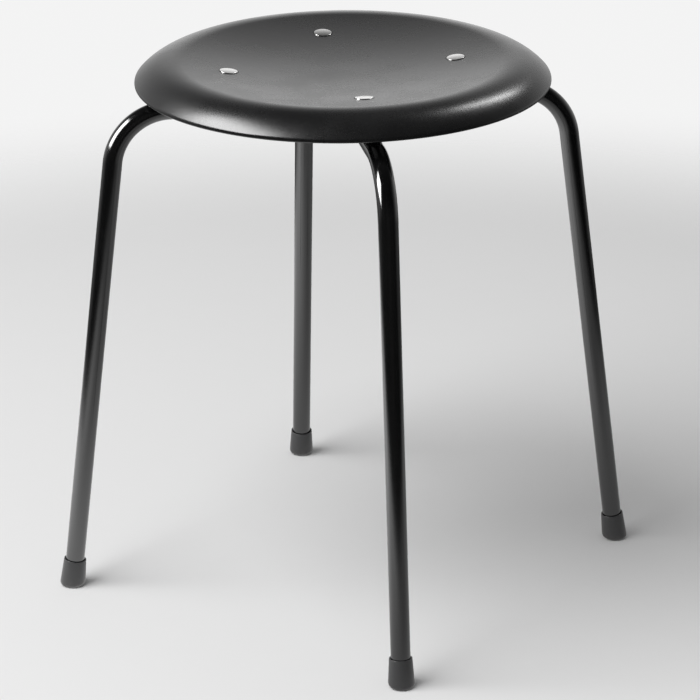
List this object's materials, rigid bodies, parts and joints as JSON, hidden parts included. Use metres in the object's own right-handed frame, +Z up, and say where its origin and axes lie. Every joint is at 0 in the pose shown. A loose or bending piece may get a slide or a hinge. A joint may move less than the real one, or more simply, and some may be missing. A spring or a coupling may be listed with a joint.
{
  "type": "low stool",
  "caption": "Low round stool: a shallow dished seat with a broad rolled rim, bolted down onto crossed frames of bent steel tube with splayed legs and tapered foot caps.",
  "frame": {"origin": "on the floor, under the middle of the seat", "axes": "+Z up; +X along the lower leg frame, to the right leg; +Y along the upper leg frame, to the back leg"},
  "size_m": [0.4978, 0.4978, 0.452],
  "materials": {
    "seat_plastic": "satin black with a fine moulded grain",
    "leg_paint": "gloss black powder coat",
    "nut_metal": "satin nickel plate",
    "screw_metal": "bright zinc plate",
    "washer_metal": "dull zinc plate",
    "cap_plastic": "dark grey satin plastic"
  },
  "bodies": {
    "root": {"seat": "seat_plastic", "lower_leg_frame": "leg_paint", "upper_leg_frame": "leg_paint", "sleeve_nut_right": "nut_metal", "sleeve_nut_back": "nut_metal", "sleeve_nut_left": "nut_metal", "sleeve_nut_front": "nut_metal", "screw_right": "screw_metal", "screw_back": "screw_metal", "screw_left": "screw_metal", "screw_front": "screw_metal", "saddle_washer_right": "washer_metal", "saddle_washer_back": "washer_metal", "saddle_washer_left": "washer_metal", "saddle_washer_front": "washer_metal", "foot_cap_right": "cap_plastic", "foot_cap_back": "cap_plastic", "foot_cap_left": "cap_plastic", "foot_cap_front": "cap_plastic"}
  },
  "joints": []
}
